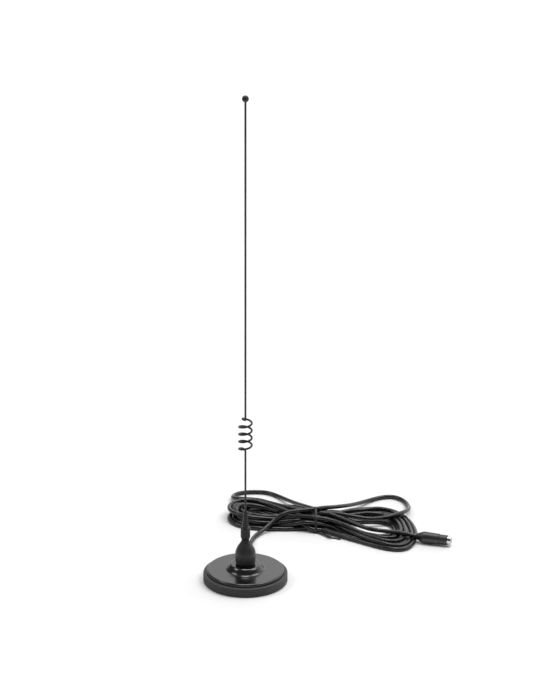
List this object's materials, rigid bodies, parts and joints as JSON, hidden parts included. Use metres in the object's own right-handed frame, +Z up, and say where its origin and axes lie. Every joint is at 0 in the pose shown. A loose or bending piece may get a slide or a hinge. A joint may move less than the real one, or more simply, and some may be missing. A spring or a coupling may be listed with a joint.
{
  "type": "magnet mount whip antenna",
  "caption": "Black whip antenna with a ball tip and open phasing coil, screwed into a bell mount on a round magnetic base, with a tied coaxial lead and in-line connector.",
  "frame": {"origin": "on the floor under the centre of the round base", "axes": "+Z up along the whip, +X towards the connector, the lead leaves the bell towards +Y"},
  "size_m": [0.1646, 0.17, 0.315],
  "materials": {
    "whip_black": "satin black coating on spring steel",
    "ferrule_black": "satin moulded",
    "housing_black": "satin moulded",
    "seal_rubber": "matte",
    "cap_black": "satin black paint",
    "ring_rubber": "matte, finely ridged",
    "pad_black": "matte",
    "lead_black": "smooth cable jacket",
    "tie_black": "satin",
    "grip_black": "satin moulded",
    "nickel": "bright nickel",
    "brass": "turned",
    "steel": "zinc plated",
    "ferrite": "sintered",
    "white_plastic": "natural"
  },
  "bodies": {
    "root": {"mount_housing": "housing_black", "thread_socket": "brass", "socket_insulator": "white_plastic", "mount_core": "brass", "ground_lug": "steel", "lead_boot": "lead_black", "lead_end": "lead_black", "lead_dielectric": "white_plastic", "braid_crimp": "brass", "base_cap": "cap_black", "clamp_bush": "steel", "magnet_cup": "steel", "ring_magnet": "ferrite", "spacer_ring": "white_plastic", "pole_core": "steel", "base_screw": "steel", "lock_washer": "steel", "guard_ring": "ring_rubber", "foot_pad": "pad_black", "coax_lead": "lead_black", "coax_hank": "lead_black", "coax_tail": "lead_black", "twist_tie": "tie_black", "connector_boot": "grip_black", "connector_collar": "grip_black", "connector_body": "nickel", "connector_insulator": "white_plastic", "connector_contact": "brass", "crimp_sleeve": "nickel", "tail_end": "lead_black"},
    "seal": {"seal_ring": "seal_rubber"},
    "whip": {"tip_ball": "whip_black", "whip_wire": "whip_black", "ferrule_shell": "ferrule_black", "ferrule_insert": "brass"}
  },
  "joints": [
    {"name": "whip_lift", "type": "slide", "parent": "root", "child": "seal", "axis": [0, 0, 1], "range_m": [0, 0.005]},
    {"name": "whip_unscrew", "type": "hinge", "parent": "seal", "child": "whip", "pos_m": [0, 0, 0.0282], "axis": [0, 0, 1], "range_deg": [0, 3600]}
  ],
  "couplings": [
    {"joint": "whip_lift", "follows": "whip_unscrew", "m_per_rad": 0.000079577}
  ]
}
